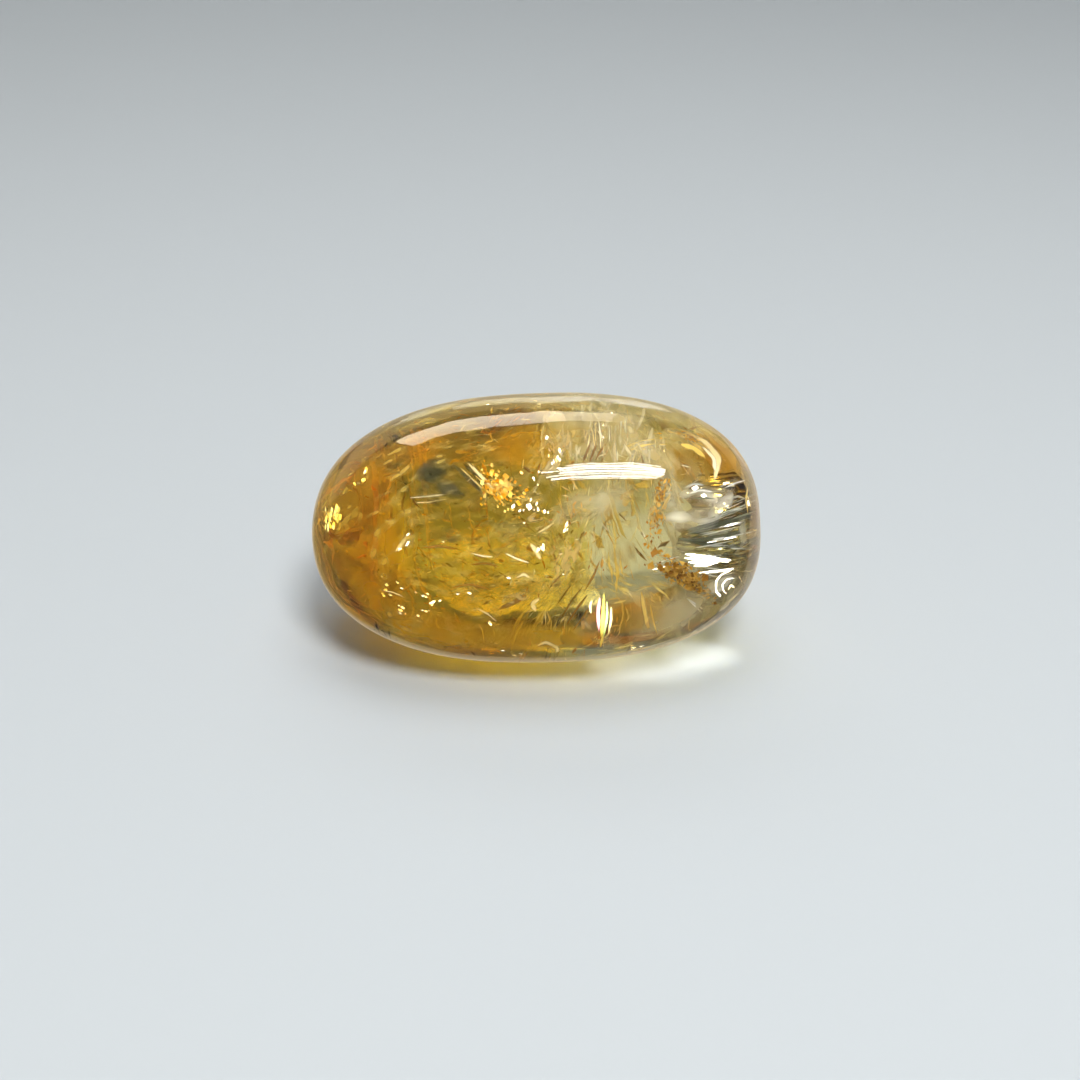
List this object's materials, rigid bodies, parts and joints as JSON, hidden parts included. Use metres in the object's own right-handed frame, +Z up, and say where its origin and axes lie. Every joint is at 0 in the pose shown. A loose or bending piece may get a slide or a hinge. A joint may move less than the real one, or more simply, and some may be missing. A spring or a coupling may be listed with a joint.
{
  "type": "tumbled stone",
  "caption": "Smooth, rounded, see-through golden quartz pebble that rests on a small flat spot, for display or for holding in the hand.",
  "frame": {"origin": "on the surface that the stone rests on, under the middle of its outline", "axes": "+X along the stone towards its blunt end, +Y away from the viewer, +Z up"},
  "size_m": [0.032, 0.023, 0.0177],
  "materials": {
    "golden_quartz": "polished, see-through, golden with orange zones"
  },
  "bodies": {
    "root": {"tumbled_stone": "golden_quartz"}
  },
  "joints": []
}
